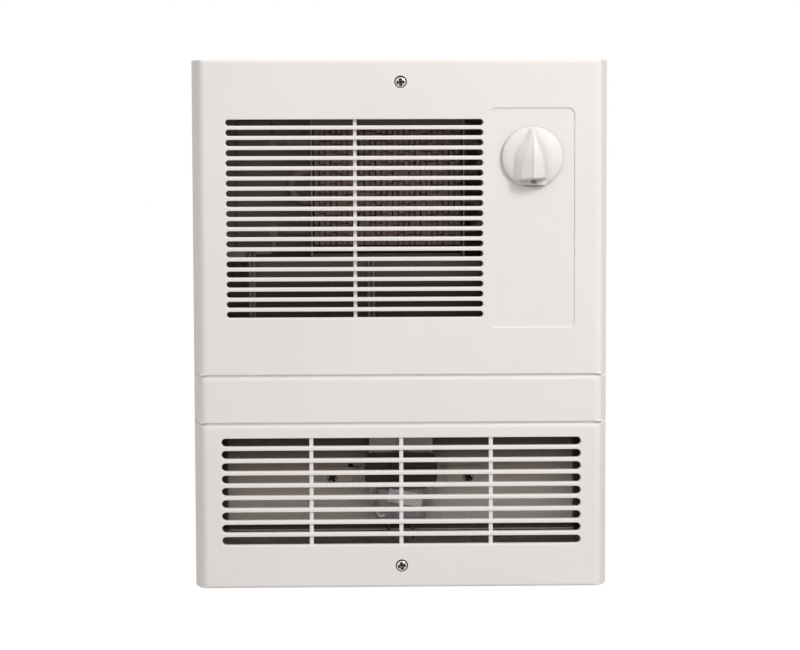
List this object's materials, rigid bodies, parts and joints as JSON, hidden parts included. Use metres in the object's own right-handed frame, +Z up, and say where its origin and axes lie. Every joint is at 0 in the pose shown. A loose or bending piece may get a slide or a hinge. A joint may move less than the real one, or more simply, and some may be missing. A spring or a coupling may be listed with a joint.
{
  "type": "wall fan heater",
  "caption": "Recessed bathroom wall fan heater: louvred white cover with a thermostat knob, over a wall can with blower, finned element and motor.",
  "frame": {"origin": "middle of the cover's back rim, on the wall surface", "axes": "+Z up, +Y into the wall, -Y out into the room, +X to the right of someone facing the heater"},
  "size_m": [0.311, 0.1249, 0.3972],
  "materials": {
    "enamel": "off-white baked enamel on die-cast aluminium, fine even grain",
    "knob_white": "moulded off-white plastic, satin",
    "galvanised": "bright galvanised sheet, faint spangle",
    "can_steel": "dull galvanised sheet of the wall can",
    "deck_steel": "galvanised sheet of the deck and motor mount",
    "brown_sleeve": "brown-grey sleeved lead wire",
    "zinc_steel": "zinc plated steel",
    "nickel_steel": "bright nickel plated screws",
    "fin_steel": "heat-dulled steel fins",
    "sheath": "heat-dulled sheath, straw and grey",
    "ceramic": "matt white ceramic",
    "phenolic": "dark brown moulded phenolic",
    "block_nylon": "natural white nylon",
    "glass_sleeve": "braided glass sleeve of the lead wires, grey-brown with heat and dust",
    "red_vinyl": "red insulated spade connector",
    "laminations": "blued core laminations",
    "coil_tape": "pale grey-lilac winding tape",
    "bobbin": "natural nylon bobbin",
    "black_zinc": "black finished steel",
    "bronze": "oil-filled bronze",
    "shaft_steel": "ground steel",
    "rotor_steel": "steel rotor with cast end rings",
    "wheel_alu": "plain aluminium blades",
    "brass": "bright brass terminals",
    "green_screw": "green dyed steel"
  },
  "bodies": {
    "housing": {"rough_in_can": "can_steel", "cover_lugs": "zinc_steel", "front_cover": "enamel", "cover_screws": "nickel_steel", "screw_washers": "zinc_steel", "fan_deck": "deck_steel", "deck_brackets": "zinc_steel", "deck_screws": "zinc_steel", "scroll_housing": "galvanised", "air_deflector": "galvanised", "element_end_plates": "galvanised", "element_fins": "fin_steel", "element_tube": "sheath", "element_terminals": "ceramic", "element_lead": "brown_sleeve", "limit_switch": "phenolic", "terminal_block": "block_nylon", "heater_leads": "glass_sleeve", "motor_leads": "brown_sleeve", "spade_connectors": "red_vinyl", "motor_stator": "laminations", "motor_coil": "coil_tape", "coil_bobbin": "bobbin", "motor_front_bracket": "black_zinc", "motor_mount": "deck_steel", "motor_bearings": "bronze", "motor_screws": "black_zinc", "mount_screws": "zinc_steel", "thermostat_body": "phenolic", "thermostat_bracket": "zinc_steel", "bushing_nut": "zinc_steel", "thermostat_terminals": "brass", "thermostat_screws": "zinc_steel", "ground_screw": "green_screw"},
    "fan_rotor": {"motor_shaft": "shaft_steel", "motor_rotor": "rotor_steel", "blower_wheel": "wheel_alu", "wheel_set_screw": "black_zinc"},
    "knob": {"thermostat_shaft": "shaft_steel", "thermostat_knob": "knob_white"}
  },
  "joints": [
    {"name": "fan_spin", "type": "hinge", "parent": "housing", "child": "fan_rotor", "pos_m": [0, 0.02, -0.109], "axis": [0, 1, 0], "continuous": true},
    {"name": "knob_turn", "type": "hinge", "parent": "housing", "child": "knob", "pos_m": [0.0977, -0.02, 0.1251], "axis": [0, 1, 0], "range_deg": [-135, 135]}
  ]
}
